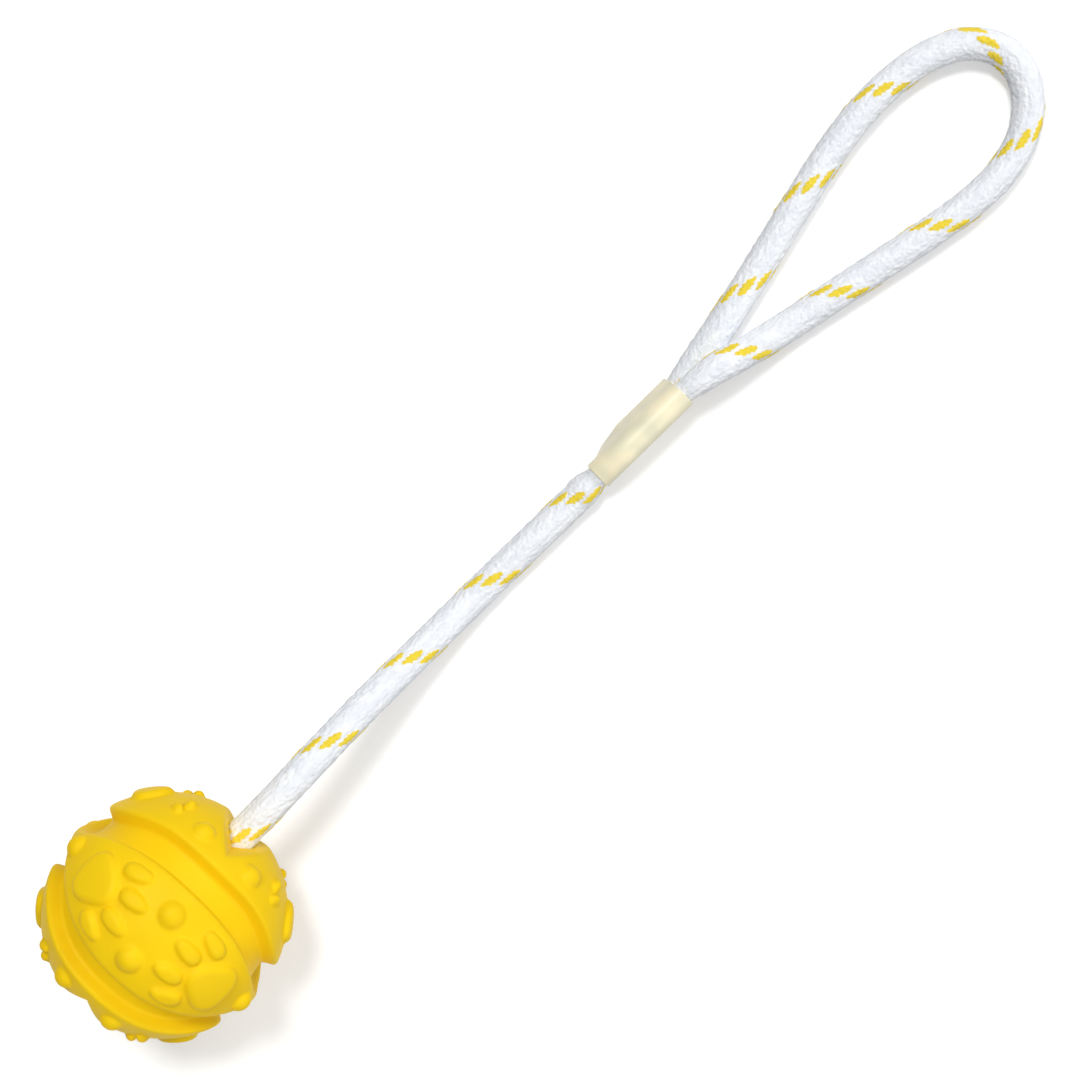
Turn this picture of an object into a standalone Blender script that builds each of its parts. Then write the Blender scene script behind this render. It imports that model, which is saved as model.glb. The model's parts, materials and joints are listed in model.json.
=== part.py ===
"""Ball on a rope for dogs: a moulded rubber ball that turns on a braided rope with a hand loop.

Metres, +Z up. The ball stands on the floor at Z = 0 with the middle of its box over the
origin, and the rope leaves it along +X. Everything is modelled with the ball's centre at X = 0
and then moved onto the origin together.

One length of rope runs from the stopper knot in the ball's far side through the bore, down to
the floor, through the sleeve, round the hand loop and back into the sleeve, where it ends.
Latitudes on the ball are counted from its middle towards the rope, and turns are counted round
the rope from the top of the ball.
"""
import math

import bmesh
import bpy
from mathutils import Matrix, Vector

# Ball
BALL_RADIUS = 0.0334
BALL_SEGMENTS = 64
BALL_RINGS = 33
# Turns the ball's facets off the lines on which the studs and paws are centred
BALL_TWIST = math.radians(1.3)
GROOVE_DEPTH = 0.0043
GROOVE_WALL_LEAN = 0.0008
GROOVE_STATIONS = 72
OVERRUN = 0.002

# Latitudes of the wavy edges beside each groove, at the middle of a panel and at its neck
PANEL_EDGE_MIDDLE = math.radians(27.8)
PANEL_EDGE_NECK = math.radians(2.5)
PANEL_EDGE_SWING = math.radians(10)
CAP_EDGE_MIDDLE = math.radians(44.5)
CAP_EDGE_NECK = math.radians(19)
CAP_EDGE_SWING = math.radians(16)

# Round studs: a ball sunk into the surface
STUD_HEIGHT = 0.0019
PANEL_STUD_CROWN = 0.0042
SMALL_STUD_CROWN = 0.0036
PANEL_STUD_LATITUDE = math.radians(14)
NECK_STUD_TURN = math.radians(66)
CAP_STUD_LATITUDE = math.radians(54)
CAP_STUD_TURN = math.radians(26)
STUD_SEGMENTS = 14
STUD_RINGS = 8
# Turns a stud's facets off the lines of the paws and the grooves
STUD_TWIST = math.radians(10)

# Paw prints: a rounded three-sided pad with four oval toes, flat-topped over the ball
PAW_HEIGHT = 0.0014
PAD_RADIUS = 0.0066
PAD_LOBE_SHARE = 0.13
PAD_SEGMENTS = 18
PANEL_PAD_TURN = math.radians(38)
TOE_LENGTH = 0.0080
TOE_WIDTH = 0.0054
TOE_SEGMENTS = 12
CAP_PAD_RADIUS = 0.0058
CAP_PAD_LATITUDE = math.radians(39.5)
CAP_TOE_LENGTH = 0.0046
CAP_TOE_WIDTH = 0.0034
PAW_SINK = 0.0015
PAW_DRAFT_SHARE = 0.07
# Latitude, turn from the panel's middle and slant of the toes on one side of a paw, in degrees
PANEL_TOES_DEGREES = [(6.5, 17.0, 8.0), (16.0, 25.0, 20.0)]
CAP_TOES_DEGREES = [(57.0, 60.0, 35.0), (50.0, 56.0, 10.0)]

# Notch across each pole, bore and knot pocket
NOTCH_DEPTH = 0.0066
NOTCH_HALF_ANGLE = math.radians(55)
BORE_CLEARANCE = 0.0004
BORE_SEGMENTS = 32
KNOT_SEAT = 0.0134
KNOT_POCKET_CLEARANCE = 0.0006
KNOT_POCKET_SEGMENTS = 48

# Rope: one radius where it is free, a smaller one where the knot or the sleeve grips it
ROPE_RADIUS = 0.0045
GRIPPED_RADIUS = 0.00335
FACE_GAP = 0.0003
FLOOR_GAP = 0.0003
ROPE_STEP = 0.008
ROPE_BEVEL_RESOLUTION = 4
CURVE_SAMPLES = 24

# Stopper knot: the rope spirals out from the bore's line and winds back round itself
KNOT_TUBE_RADIUS = 0.0036
KNOT_CORE_GAP = 0.0004
KNOT_PITCH = 0.0079
KNOT_WOUND_TURNS = 1.12
KNOT_SPIRAL_TURNS = 0.62
KNOT_POINTS_PER_TURN = 20
KNOT_BEVEL_RESOLUTION = 2

# Sleeve over the joint
SLEEVE_START = 0.1694
SLEEVE_LENGTH = 0.0333
SLEEVE_WALL = 0.00055
SLEEVE_FIT = 0.0003
SLEEVE_SEGMENTS = 28
SLEEVE_STATIONS = 14
TAIL_INSET = 0.0086
TAIL_TAPER = 0.0060
TAIL_END_SHARE = 0.68
SWELL_LEAD = 0.0060
STRAND_SIDE_OFFSET = 0.0026
STRAND_OVER = 0.0067
CLIMB_START = 0.1580
CLIMB_RUN = 0.0240
END_INSET = 0.0036
GRIP_LEAD = 0.0008
# Where the two strands lie across the sleeve at its two ends
LOWER_STRAND_Y = (0.0008, -0.0002)

# How high the ball's middle stands: on two panel studs, with a small flat worn into each
REST_FLAT_DEPTH = 0.00025
AXIS_HEIGHT = ((BALL_RADIUS + STUD_HEIGHT - PANEL_STUD_CROWN) * math.cos(PANEL_STUD_LATITUDE)
               + PANEL_STUD_CROWN - REST_FLAT_DEPTH)

# Route of the free rope from the ball to the sleeve: X, Y, and height as a share of the drop
LEAD_SPLIT = 0.0240
LEAD_STRAIGHT = 0.0390
LEAD_LANDING = 0.1280
LEAD_DROP_POINTS = 9
LEAD_SWAY = [(0.0500, 0.0001), (0.0740, 0.0005), (0.1020, 0.0000), (0.1300, -0.0007),
             (0.1500, -0.0014), (0.1600, -0.0017)]

# Route of the hand loop from the sleeve's mouth and back: X, Y, how far the leg stands over
# the floor as a share of the strands' step, and the rope's thickness as a share of its own
LOOP_ROUTE = [
    (0.2070, -0.0034, 1.08, 0.84), (0.2130, -0.0045, 1.08, 0.96), (0.2200, -0.0064, 0.80, 1.0),
    (0.2270, -0.0084, 0.40, 1.0), (0.2350, -0.0103, 0.10, 1.0), (0.2430, -0.0122, 0.0, 1.0),
    (0.2520, -0.0142, 0.0, 1.0), (0.2680, -0.0178, 0.0, 1.0), (0.2840, -0.0214, 0.0, 1.0),
    (0.2990, -0.0241, 0.0, 1.0), (0.3120, -0.0246, 0.0, 1.0), (0.3235, -0.0218, 0.0, 1.02),
    (0.3325, -0.0155, 0.0, 1.05), (0.3370, -0.0080, 0.0, 1.06), (0.3370, 0.0000, 0.0, 1.06),
    (0.3325, 0.0074, 0.0, 1.05), (0.3230, 0.0131, 0.0, 1.02), (0.3100, 0.0160, 0.0, 1.0),
    (0.2950, 0.0161, 0.0, 1.0), (0.2800, 0.0142, 0.0, 1.0), (0.2650, 0.0111, 0.0, 1.0),
    (0.2510, 0.0080, 0.0, 1.0), (0.2350, 0.0046, 0.0, 1.0), (0.2220, 0.0022, 0.0, 1.0),
    (0.2130, 0.0008, 0.0, 0.96), (0.2070, 0.0001, 0.0, 0.84),
]

SLEEVE_END = SLEEVE_START + SLEEVE_LENGTH
TAIL_START = SLEEVE_START + TAIL_INSET
BORE_RADIUS = ROPE_RADIUS + BORE_CLEARANCE
GRIPPED_SHARE = GRIPPED_RADIUS / ROPE_RADIUS
KNOT_WIND_RADIUS = 2 * KNOT_TUBE_RADIUS + KNOT_CORE_GAP
KNOT_POCKET_RADIUS = KNOT_WIND_RADIUS + KNOT_TUBE_RADIUS + KNOT_POCKET_CLEARANCE
ROPE_REST = ROPE_RADIUS + FLOOR_GAP
STRAND_REST = GRIPPED_RADIUS + SLEEVE_FIT + SLEEVE_WALL + FLOOR_GAP

YELLOW_RUBBER = (0.86, 0.56, 0.012, 1.0)
WHITE_BRAID = (0.80, 0.82, 0.86, 1.0)
IVORY_SLEEVE = (0.87, 0.80, 0.56, 1.0)


def clear_scene():
    for obj in list(bpy.data.objects):
        bpy.data.objects.remove(obj, do_unlink=True)


def new_collection(name):
    collection = bpy.data.collections.new(name)
    bpy.context.scene.collection.children.link(collection)
    return collection


def new_material(name, colour, roughness):
    material = bpy.data.materials.new(name)
    material.use_nodes = True
    shader = material.node_tree.nodes["Principled BSDF"]
    shader.inputs["Base Color"].default_value = colour
    shader.inputs["Roughness"].default_value = roughness
    shader.inputs["Metallic"].default_value = 0.0
    return material


def ball_reach():
    """How far the ball reaches along the rope: to the notch's edge, and to the knot pocket's."""
    slope = math.tan(NOTCH_HALF_ANGLE) ** 2
    bottom = BALL_RADIUS - NOTCH_DEPTH
    root = math.sqrt((1 + slope) * BALL_RADIUS ** 2 - slope * bottom ** 2)
    rope_side = (slope * bottom + root) / (1 + slope)
    knot_side = math.sqrt(BALL_RADIUS ** 2 - KNOT_POCKET_RADIUS ** 2)
    return rope_side, knot_side


def move_onto_origin(parts, cutters):
    """Carry every piece on one empty, so that the ball's box is centred over the origin."""
    rope_side, knot_side = ball_reach()
    carrier = bpy.data.objects.new("whole_toy", None)
    bpy.context.scene.collection.objects.link(carrier)
    for obj in list(parts.objects) + list(cutters.objects):
        obj.parent = carrier
    carrier.location.x = (knot_side - rope_side) / 2


def mesh_object(name, bm, collection):
    bmesh.ops.recalc_face_normals(bm, faces=bm.faces)
    mesh = bpy.data.meshes.new(name)
    bm.to_mesh(mesh)
    bm.free()
    obj = bpy.data.objects.new(name, mesh)
    collection.objects.link(obj)
    return obj


def cutter_object(name, bm, collection):
    obj = mesh_object(name, bm, collection)
    obj.hide_render = True
    obj.display_type = 'WIRE'
    return obj


def add_boolean(obj, other, operation, pieces_touch=False):
    modifier = obj.modifiers.new(other.name, 'BOOLEAN')
    modifier.operation = operation
    modifier.solver = 'EXACT'
    modifier.use_self = pieces_touch
    modifier.object = other


def shade_round(obj, angle):
    obj.data.shade_smooth()
    obj.data.set_sharp_from_angle(angle=angle)


# Ball

def on_ball(latitude, turn, radius):
    """Point on a sphere round the ball's middle; turn 0 is the top, latitude 90 the rope side."""
    return Vector((radius * math.sin(latitude),
                   -radius * math.cos(latitude) * math.sin(turn),
                   radius * math.cos(latitude) * math.cos(turn)))


def surface_frame(latitude, turn, slant, radius):
    """Matrix at a place on the ball: X round the rope, Y towards the rope, Z outwards."""
    outward = on_ball(latitude, turn, 1.0)
    along = Vector((math.cos(latitude), math.sin(latitude) * math.sin(turn),
                    -math.sin(latitude) * math.cos(turn)))
    around = along.cross(outward)
    matrix = Matrix((around, along, outward)).transposed().to_4x4()
    matrix.translation = outward * radius
    return matrix @ Matrix.Rotation(slant, 4, 'Z')


def edge_latitude(turn, middle, neck, swing):
    """A wavy edge: widest at the middle of a panel, narrowest at its neck."""
    return neck + (middle - neck) * math.cos(turn - swing * math.sin(2 * turn)) ** 2


def sphere_mesh(radius):
    bm = bmesh.new()
    lay_down = Matrix.Rotation(BALL_TWIST, 4, 'X') @ Matrix.Rotation(math.radians(90), 4, 'Y')
    bmesh.ops.create_uvsphere(bm, u_segments=BALL_SEGMENTS, v_segments=BALL_RINGS,
                              radius=radius, matrix=lay_down)
    return bm


def groove_mesh(side):
    """The groove's section lofted round the ball between its two wavy edges."""
    bm = bmesh.new()
    lean = GROOVE_WALL_LEAN / BALL_RADIUS
    flare = lean * OVERRUN / GROOVE_DEPTH
    outer = BALL_RADIUS + OVERRUN
    floor = BALL_RADIUS - GROOVE_DEPTH
    rows = []
    for station in range(GROOVE_STATIONS):
        turn = 2 * math.pi * station / GROOVE_STATIONS
        panel = edge_latitude(turn, PANEL_EDGE_MIDDLE, PANEL_EDGE_NECK, PANEL_EDGE_SWING)
        cap = edge_latitude(turn, CAP_EDGE_MIDDLE, CAP_EDGE_NECK, CAP_EDGE_SWING)
        section = [(panel - flare, outer), (panel + lean, floor), ((panel + cap) / 2, floor),
                   (cap - lean, floor), (cap + flare, outer)]
        rows.append([bm.verts.new(on_ball(side * lat, turn, rad)) for lat, rad in section])
    for row, after in zip(rows, rows[1:] + rows[:1]):
        for j in range(len(row)):
            k = (j + 1) % len(row)
            bm.faces.new((row[j], row[k], after[k], after[j]))
    return bm


def cylinder_along_x(radius, start, end, segments):
    bm = bmesh.new()
    place = (Matrix.Translation(Vector(((start + end) / 2, 0, 0)))
             @ Matrix.Rotation(math.radians(90), 4, 'Y'))
    bmesh.ops.create_cone(bm, cap_ends=True, segments=segments, radius1=radius, radius2=radius,
                          depth=end - start, matrix=place)
    return bm


def notch_mesh(side):
    """A V-shaped notch over the pole, from front to back, which ends in two points."""
    bm = bmesh.new()
    bottom = BALL_RADIUS - NOTCH_DEPTH
    top = BALL_RADIUS + OVERRUN
    half_width = (top - bottom) * math.tan(NOTCH_HALF_ANGLE)
    corners = [(bottom, 0), (top, half_width), (top, -half_width)]
    under = [bm.verts.new((side * x, y, -BALL_RADIUS)) for x, y in corners]
    made = bmesh.ops.extrude_face_region(bm, geom=[bm.faces.new(under)])
    raised = [item for item in made["geom"] if isinstance(item, bmesh.types.BMVert)]
    bmesh.ops.translate(bm, verts=raised, vec=Vector((0, 0, 2 * BALL_RADIUS)))
    return bm


def add_stud(bm, latitude, turn, crown):
    sunk = BALL_RADIUS + STUD_HEIGHT - crown
    bmesh.ops.create_uvsphere(bm, u_segments=STUD_SEGMENTS, v_segments=STUD_RINGS, radius=crown,
                              matrix=surface_frame(latitude, turn, STUD_TWIST, sunk))


def stud_mesh():
    bm = bmesh.new()
    for back in (0, math.pi):
        for end in (1, -1):
            add_stud(bm, end * PANEL_STUD_LATITUDE, back, PANEL_STUD_CROWN)
            add_stud(bm, 0, back + end * NECK_STUD_TURN, SMALL_STUD_CROWN)
            for hand in (1, -1):
                add_stud(bm, end * CAP_STUD_LATITUDE, back + hand * CAP_STUD_TURN,
                         SMALL_STUD_CROWN)
    return bm


def add_paw_piece(bm, latitude, turn, slant, half_length, half_width, segments, lobe_share):
    """A leaning-sided block over the ball's surface, oval or with three soft lobes."""
    height = PAW_SINK + PAW_HEIGHT + OVERRUN
    foot = BALL_RADIUS - PAW_SINK
    place = (surface_frame(latitude, turn, slant, foot + height / 2)
             @ Matrix.Diagonal(Vector((half_length, half_width, height, 1))))
    made = bmesh.ops.create_cone(bm, cap_ends=True, segments=segments, radius1=1 + PAW_DRAFT_SHARE,
                                 radius2=1 - PAW_DRAFT_SHARE, depth=1)
    for vert in made["verts"]:
        angle = math.atan2(vert.co.y, vert.co.x)
        swell = 1 + lobe_share * math.cos(3 * angle)
        vert.co.x *= swell
        vert.co.y *= swell
    bmesh.ops.transform(bm, matrix=place, verts=made["verts"])


def add_paw(bm, pad_latitude, pad_turn, pad_radius, pad_slant, toes, toe_length, toe_width):
    add_paw_piece(bm, pad_latitude, pad_turn, pad_slant, pad_radius, pad_radius, PAD_SEGMENTS,
                  PAD_LOBE_SHARE)
    for latitude, turn, slant in toes:
        add_paw_piece(bm, latitude, turn, slant, toe_length / 2, toe_width / 2, TOE_SEGMENTS, 0)


def paw_mesh():
    """Two paws on each panel, toes to its middle, and one on each side of each cap."""
    bm = bmesh.new()
    for back in (0, math.pi):
        for hand in (1, -1):
            toes = [(math.radians(end * lat), back + hand * math.radians(turn),
                     -end * hand * math.radians(slant))
                    for lat, turn, slant in PANEL_TOES_DEGREES for end in (1, -1)]
            pad_slant = math.pi if hand > 0 else 0
            add_paw(bm, 0, back + hand * PANEL_PAD_TURN, PAD_RADIUS, pad_slant, toes,
                    TOE_LENGTH, TOE_WIDTH)
    for end in (1, -1):
        for hand in (1, -1):
            side_turn = hand * math.radians(90)
            toes = [(math.radians(end * lat), side_turn + way * math.radians(90 - turn),
                     -end * way * math.radians(slant))
                    for lat, turn, slant in CAP_TOES_DEGREES for way in (1, -1)]
            add_paw(bm, end * CAP_PAD_LATITUDE, side_turn, CAP_PAD_RADIUS,
                    end * math.radians(90), toes, CAP_TOE_LENGTH, CAP_TOE_WIDTH)
    return bm


def rest_plane_mesh():
    """All that lies under the floor, in the ball's own frame."""
    bm = bmesh.new()
    size = 2 * (BALL_RADIUS + STUD_HEIGHT)
    place = Matrix.Translation(Vector((0, 0, -AXIS_HEIGHT - size / 2)))
    bmesh.ops.create_cube(bm, size=size, matrix=place)
    return bm


def make_ball(parts, cutters, material):
    ball = mesh_object("ball", sphere_mesh(BALL_RADIUS), parts)
    for name, side in (("groove_rope_side", 1), ("groove_far_side", -1)):
        add_boolean(ball, cutter_object(name, groove_mesh(side), cutters), 'DIFFERENCE')
    paws = cutter_object("paws", paw_mesh(), cutters)
    paw_tops = cutter_object("paw_tops", sphere_mesh(BALL_RADIUS + PAW_HEIGHT), cutters)
    add_boolean(paws, paw_tops, 'INTERSECT', pieces_touch=True)
    add_boolean(ball, paws, 'UNION', pieces_touch=True)
    studs = cutter_object("studs", stud_mesh(), cutters)
    add_boolean(ball, studs, 'UNION', pieces_touch=True)
    for name, side in (("notch_rope_side", 1), ("notch_far_side", -1)):
        add_boolean(ball, cutter_object(name, notch_mesh(side), cutters), 'DIFFERENCE')
    knot_pocket = cylinder_along_x(KNOT_POCKET_RADIUS, -BALL_RADIUS - OVERRUN, -KNOT_SEAT,
                                   KNOT_POCKET_SEGMENTS)
    add_boolean(ball, cutter_object("knot_pocket", knot_pocket, cutters), 'DIFFERENCE')
    bore = cylinder_along_x(BORE_RADIUS, -KNOT_SEAT - OVERRUN, BALL_RADIUS + OVERRUN,
                            BORE_SEGMENTS)
    add_boolean(ball, cutter_object("bore", bore, cutters), 'DIFFERENCE')
    floor = cutter_object("rest_plane", rest_plane_mesh(), cutters)
    add_boolean(ball, floor, 'DIFFERENCE')
    axis_point = Vector((0, 0, AXIS_HEIGHT))
    ball.location = axis_point
    for cutter in cutters.objects:
        cutter.location = axis_point
    ball.data.materials.append(material)
    shade_round(ball, math.radians(30))
    return ball


# Rope

def distance(a, b):
    """How far apart two places are; their fourth value, the rope's thickness, isn't a place."""
    return (a.xyz - b.xyz).length


def smooth_curve(route):
    """Centripetal Catmull-Rom curve through the route's points, finely sampled."""
    points = [Vector(p) for p in route]
    padded = [2 * points[0] - points[1]] + points + [2 * points[-1] - points[-2]]
    fine = []
    for p0, p1, p2, p3 in zip(padded, padded[1:], padded[2:], padded[3:]):
        t1 = distance(p0, p1) ** 0.5
        t2 = t1 + distance(p1, p2) ** 0.5
        t3 = t2 + distance(p2, p3) ** 0.5
        for step in range(CURVE_SAMPLES):
            t = t1 + (t2 - t1) * step / CURVE_SAMPLES
            a1 = p0.lerp(p1, t / t1)
            a2 = p1.lerp(p2, (t - t1) / (t2 - t1))
            a3 = p2.lerp(p3, (t - t2) / (t3 - t2))
            b1 = a1.lerp(a2, t / t2)
            b2 = a2.lerp(a3, (t - t1) / (t3 - t1))
            fine.append(b1.lerp(b2, (t - t1) / (t2 - t1)))
    fine.append(points[-1])
    return fine


def even_points(fine, step):
    """Points at even distances along a finely sampled curve, with both its ends."""
    lengths = [0.0]
    for a, b in zip(fine, fine[1:]):
        lengths.append(lengths[-1] + distance(a, b))
    count = max(2, round(lengths[-1] / step))
    result = []
    i = 0
    for n in range(count + 1):
        target = lengths[-1] * n / count
        while i < len(fine) - 2 and lengths[i + 1] < target:
            i += 1
        share = (target - lengths[i]) / (lengths[i + 1] - lengths[i])
        result.append(fine[i].lerp(fine[i + 1], share))
    return result


def rope_tube(name, points, radius, bevel_resolution, collection, material):
    """A round tube along points whose fourth value is the rope's thickness as a share."""
    curve = bpy.data.curves.new(name, 'CURVE')
    curve.dimensions = '3D'
    curve.bevel_depth = radius
    curve.bevel_resolution = bevel_resolution
    curve.use_fill_caps = True
    spline = curve.splines.new('POLY')
    spline.points.add(len(points) - 1)
    for target, point in zip(spline.points, points):
        target.co = (point[0], point[1], point[2], 1)
        target.radius = point[3]
    curve.materials.append(material)
    obj = bpy.data.objects.new(name, curve)
    collection.objects.link(obj)
    return obj


def rope_stretch(name, before, route, after, collection, material):
    """A free stretch on one smooth curve, with the points where something grips its ends."""
    points = before + even_points(smooth_curve(route), ROPE_STEP) + after
    return rope_tube(name, points, ROPE_RADIUS, ROPE_BEVEL_RESOLUTION, collection, material)


def lead_sway(x):
    """How far the lead lies to the side at a place along it."""
    table = [(LEAD_STRAIGHT, 0.0)] + LEAD_SWAY + [(SLEEVE_START, upper_strand(SLEEVE_START)[1])]
    for (x0, y0), (x1, y1) in zip(table, table[1:]):
        if x <= x1:
            return y0 + (y1 - y0) * (x - x0) / (x1 - x0)
    return table[-1][1]


def lead_height(x):
    """Level out of the ball, then one soft S down to the floor."""
    share = min(max((x - LEAD_STRAIGHT) / (LEAD_LANDING - LEAD_STRAIGHT), 0), 1)
    return ROPE_REST + (AXIS_HEIGHT - ROPE_REST) * (1 + math.cos(math.pi * share)) / 2


def sleeve_share(x):
    return (x - SLEEVE_START) / SLEEVE_LENGTH


def lower_strand(x):
    """Centre of the strand that lies on the sleeve's floor: the rope's tail."""
    start, end = LOWER_STRAND_Y
    return Vector((x, start + (end - start) * sleeve_share(x), STRAND_REST))


def climb(x):
    share = min(max((x - CLIMB_START) / CLIMB_RUN, 0), 1)
    return STRAND_OVER * (1 - math.cos(math.pi * share)) / 2


def climb_stretch(x):
    """How much longer the climbing strand's section is upright than across."""
    share = min(max((x - CLIMB_START) / CLIMB_RUN, 0), 1)
    slope = STRAND_OVER * math.pi / 2 / CLIMB_RUN * math.sin(math.pi * share)
    return math.hypot(1, slope)


def upper_strand(x):
    """Centre of the strand from the ball, which climbs over the tail inside the sleeve."""
    side = lower_strand(x)
    return Vector((x, side[1] - STRAND_SIDE_OFFSET, STRAND_REST + climb(x)))


def gripped(point):
    return (point[0], point[1], point[2], GRIPPED_SHARE)


def make_rope_in_ball(parts, material):
    start = -KNOT_SEAT
    end = LEAD_SPLIT - FACE_GAP
    knot_share = KNOT_TUBE_RADIUS / ROPE_RADIUS
    points = [(start, 0, AXIS_HEIGHT, knot_share), (start + ROPE_RADIUS, 0, AXIS_HEIGHT, 1),
              ((start + end) / 2, 0, AXIS_HEIGHT, 1), (end, 0, AXIS_HEIGHT, 1)]
    return rope_tube("rope_in_ball", points, ROPE_RADIUS, ROPE_BEVEL_RESOLUTION, parts, material)


def make_rope_lead(parts, material):
    middle = (LEAD_SPLIT + LEAD_STRAIGHT) / 2
    route = [(LEAD_SPLIT, 0, AXIS_HEIGHT, 1), (middle, 0, AXIS_HEIGHT, 1)]
    for i in range(LEAD_DROP_POINTS + 1):
        x = LEAD_STRAIGHT + (LEAD_LANDING - LEAD_STRAIGHT) * i / LEAD_DROP_POINTS
        route.append((x, lead_sway(x), lead_height(x), 1))
    grip = SLEEVE_START + END_INSET - FACE_GAP
    for x in (LEAD_SWAY[-2][0], LEAD_SWAY[-1][0], SLEEVE_START - ROPE_RADIUS):
        route.append((x, lead_sway(x), ROPE_REST + climb(x), 1))
    route.append(gripped(upper_strand(SLEEVE_START - GRIP_LEAD)))
    held = [gripped(upper_strand(grip))]
    return rope_stretch("rope_lead", [], route, held, parts, material)


def make_rope_in_sleeve(parts, material):
    start = SLEEVE_START + END_INSET
    end = SLEEVE_END - END_INSET
    count = max(4, round((end - start) / GRIPPED_RADIUS))
    points = [gripped(upper_strand(start + (end - start) * i / count)) for i in range(count + 1)]
    return rope_tube("rope_in_sleeve", points, ROPE_RADIUS, ROPE_BEVEL_RESOLUTION, parts, material)


def make_rope_tail(parts, material):
    """The rope's cut end: squeezed thinner at the cut, on the floor of the sleeve."""
    end = SLEEVE_END - END_INSET
    count = max(4, round((end - TAIL_START) / GRIPPED_RADIUS))
    points = []
    for i in range(count + 1):
        x = TAIL_START + (end - TAIL_START) * i / count
        centre, radius = tail_section(x)
        points.append((centre[0], centre[1], centre[2], radius / ROPE_RADIUS))
    return rope_tube("rope_tail", points, ROPE_RADIUS, ROPE_BEVEL_RESOLUTION, parts, material)


def tail_section(x):
    """Centre and radius of the tail, which grows from its squeezed end."""
    grown = min(max((x - TAIL_START) / TAIL_TAPER, 0), 1)
    radius = GRIPPED_RADIUS * (TAIL_END_SHARE + (1 - TAIL_END_SHARE) * grown)
    centre = lower_strand(x)
    centre[2] -= GRIPPED_RADIUS - radius
    return centre, radius


def make_rope_loop(parts, material):
    start = SLEEVE_END - END_INSET + FACE_GAP
    route = [gripped(upper_strand(SLEEVE_END + GRIP_LEAD))]
    for x, y, over, thickness in LOOP_ROUTE:
        rest = FLOOR_GAP + ROPE_RADIUS * max(thickness, 1)
        route.append((x, y, rest + STRAND_OVER * over, thickness))
    route.append(gripped(lower_strand(SLEEVE_END + GRIP_LEAD)))
    return rope_stretch("rope_loop", [gripped(upper_strand(start))], route,
                        [gripped(lower_strand(start))], parts, material)


def knot_points():
    """Out along the bore's line, a spiral on the far face, then wound back round itself."""
    near = -KNOT_SEAT - FACE_GAP
    far = near - 2 * KNOT_TUBE_RADIUS - KNOT_PITCH * KNOT_WOUND_TURNS
    straight = far + KNOT_TUBE_RADIUS
    points = []
    steps = max(3, round((near - straight) / (2 * KNOT_TUBE_RADIUS)))
    for i in range(steps):
        points.append((near + (straight + KNOT_TUBE_RADIUS - near) * i / steps, 0, AXIS_HEIGHT, 1))
    spiral = round(KNOT_SPIRAL_TURNS * KNOT_POINTS_PER_TURN)
    wound = round(KNOT_WOUND_TURNS * KNOT_POINTS_PER_TURN)
    for i in range(spiral + wound + 1):
        angle = 2 * math.pi * i / KNOT_POINTS_PER_TURN
        out = KNOT_WIND_RADIUS * math.sin(math.pi / 2 * min(i / spiral, 1))
        back = KNOT_PITCH * max(i - spiral, 0) / KNOT_POINTS_PER_TURN
        height = AXIS_HEIGHT + out * math.sin(angle)
        points.append((straight + back, out * math.cos(angle), height, 1))
    return points


def make_rope_knot(parts, material):
    return rope_tube("rope_knot", knot_points(), KNOT_TUBE_RADIUS, KNOT_BEVEL_RESOLUTION, parts,
                     material)


# Sleeve

def sleeve_section(x):
    """The film drawn tight round the two strands, or round one before the tail begins."""
    upper = upper_strand(x)
    if x >= TAIL_START:
        lower, lower_radius = tail_section(x)
    else:
        share = min(max((x - TAIL_START + SWELL_LEAD) / SWELL_LEAD, 0), 1)
        share = share * share * (3 - 2 * share)
        tail, tail_radius = tail_section(TAIL_START)
        lower = upper.lerp(Vector((x, tail[1], tail[2])), share)
        lower_radius = GRIPPED_RADIUS + (tail_radius - GRIPPED_RADIUS) * share
    ring = []
    stretch = climb_stretch(x)
    for i in range(SLEEVE_SEGMENTS):
        angle = 2 * math.pi * i / SLEEVE_SEGMENTS
        way = Vector((0, math.cos(angle), math.sin(angle)))
        stretched = Vector((0, way.y, way.z * stretch))
        reach_upper = upper.dot(way) + GRIPPED_RADIUS * stretched.dot(way)
        reach_lower = lower.dot(way) + lower_radius
        if reach_upper >= reach_lower:
            ring.append(upper + stretched * (GRIPPED_RADIUS + SLEEVE_FIT))
        else:
            ring.append(lower + way * (lower_radius + SLEEVE_FIT))
    return ring


def make_sleeve(parts, material):
    bm = bmesh.new()
    rows = []
    for station in range(SLEEVE_STATIONS + 1):
        x = SLEEVE_START + SLEEVE_LENGTH * station / SLEEVE_STATIONS
        rows.append([bm.verts.new(point) for point in sleeve_section(x)])
    for row, after in zip(rows, rows[1:]):
        for j in range(SLEEVE_SEGMENTS):
            k = (j + 1) % SLEEVE_SEGMENTS
            bm.faces.new((row[j], row[k], after[k], after[j]))
    sleeve = mesh_object("joint_sleeve", bm, parts)
    wall = sleeve.modifiers.new("wall", 'SOLIDIFY')
    wall.thickness = SLEEVE_WALL
    wall.offset = 1
    sleeve.data.materials.append(material)
    shade_round(sleeve, math.radians(40))
    return sleeve


def main():
    clear_scene()
    parts = new_collection("ball_on_rope")
    cutters = new_collection("cutters")
    rubber = new_material("yellow_natural_rubber", YELLOW_RUBBER, 0.5)
    braid = new_material("white_braided_rope", WHITE_BRAID, 0.85)
    film = new_material("ivory_shrunk_film", IVORY_SLEEVE, 0.4)
    make_ball(parts, cutters, rubber)
    make_rope_knot(parts, braid)
    make_rope_in_ball(parts, braid)
    make_rope_lead(parts, braid)
    make_rope_in_sleeve(parts, braid)
    make_rope_loop(parts, braid)
    make_rope_tail(parts, braid)
    make_sleeve(parts, film)
    move_onto_origin(parts, cutters)


main()
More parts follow.
